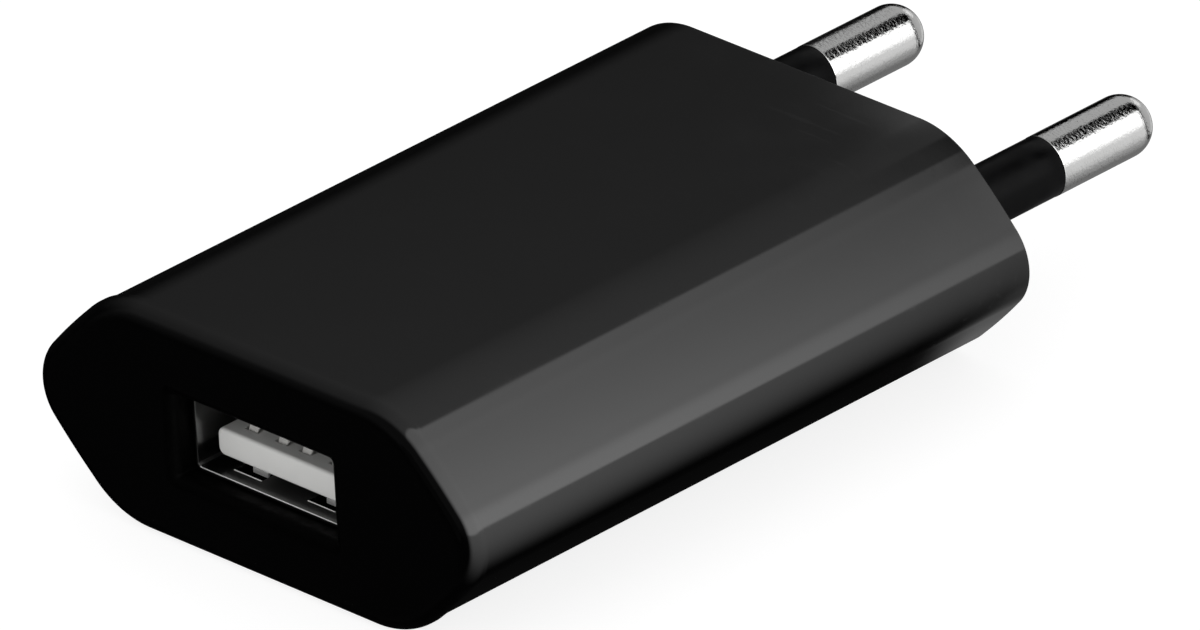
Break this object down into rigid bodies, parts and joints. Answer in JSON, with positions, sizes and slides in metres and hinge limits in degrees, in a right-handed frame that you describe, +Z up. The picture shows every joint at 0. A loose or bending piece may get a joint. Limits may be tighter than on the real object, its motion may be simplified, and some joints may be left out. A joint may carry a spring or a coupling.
{
  "type": "usb wall charger",
  "caption": "Slim black USB wall charger with a faceted case, a USB A port in its front cap and two round sleeved mains pins.",
  "frame": {"origin": "centre of the plug face, midway between the two pin axes", "axes": "+Y along the pins, away from the case; -Y towards the USB port; +Z up from the flat the case lies on; X across its width"},
  "size_m": [0.0366, 0.0665, 0.0152],
  "materials": {
    "case_plastic": "polished black",
    "cap_plastic": "polished black",
    "pin_plate": "satin nickel plate",
    "sleeve_plastic": "satin black",
    "wire_brown": "satin",
    "wire_blue": "satin",
    "board_laminate": "green solder mask over glass laminate",
    "solder": "bright solder",
    "shell_steel": "nickel-plated sheet",
    "white_plastic": "satin white",
    "contact_gold": "gold flash",
    "ferrite": "matt grey",
    "bobbin_plastic": "satin black",
    "copper": "enamelled copper wire",
    "tape": "yellow polyester tape",
    "tinned_wire": "tinned",
    "capacitor_sleeve": "dark shrink sleeve",
    "output_sleeve": "green shrink sleeve",
    "rubber_seal": "matt",
    "resistor_lacquer": "green lacquer",
    "disc_coat": "blue dipped coat",
    "chip_epoxy": "moulded epoxy",
    "chip_ceramic": "fired ceramic"
  },
  "bodies": {
    "root": {"housing": "case_plastic", "front_cap": "cap_plastic", "pin_left": "pin_plate", "pin_right": "pin_plate", "pin_sleeve_left": "sleeve_plastic", "pin_sleeve_right": "sleeve_plastic", "lead_wire_left": "wire_brown", "lead_wire_right": "wire_blue", "circuit_board": "board_laminate", "solder_joints": "solder", "usb_shell": "shell_steel", "usb_insulator": "white_plastic", "usb_contact_supply": "contact_gold", "usb_contact_data_minus": "contact_gold", "usb_contact_data_plus": "contact_gold", "usb_contact_ground": "contact_gold", "transformer_core_left": "ferrite", "transformer_core_right": "ferrite", "transformer_bobbin": "bobbin_plastic", "transformer_winding": "copper", "transformer_tape": "tape", "transformer_pins": "tinned_wire", "bulk_capacitor_front": "capacitor_sleeve", "bulk_capacitor_rear": "capacitor_sleeve", "output_capacitor_left": "output_sleeve", "output_capacitor_right": "output_sleeve", "capacitor_seals": "rubber_seal", "capacitor_leads": "tinned_wire", "fusible_resistor": "resistor_lacquer", "fusible_resistor_leads": "tinned_wire", "filter_inductor": "ferrite", "filter_inductor_leads": "tinned_wire", "y_capacitor": "disc_coat", "y_capacitor_leads": "tinned_wire", "bridge_rectifier": "chip_epoxy", "bridge_rectifier_legs": "tinned_wire", "controller_chip": "chip_epoxy", "controller_chip_legs": "tinned_wire", "output_diode": "chip_epoxy", "output_diode_ends": "tinned_wire", "chip_resistors": "chip_epoxy", "chip_capacitors": "chip_ceramic"}
  },
  "joints": []
}
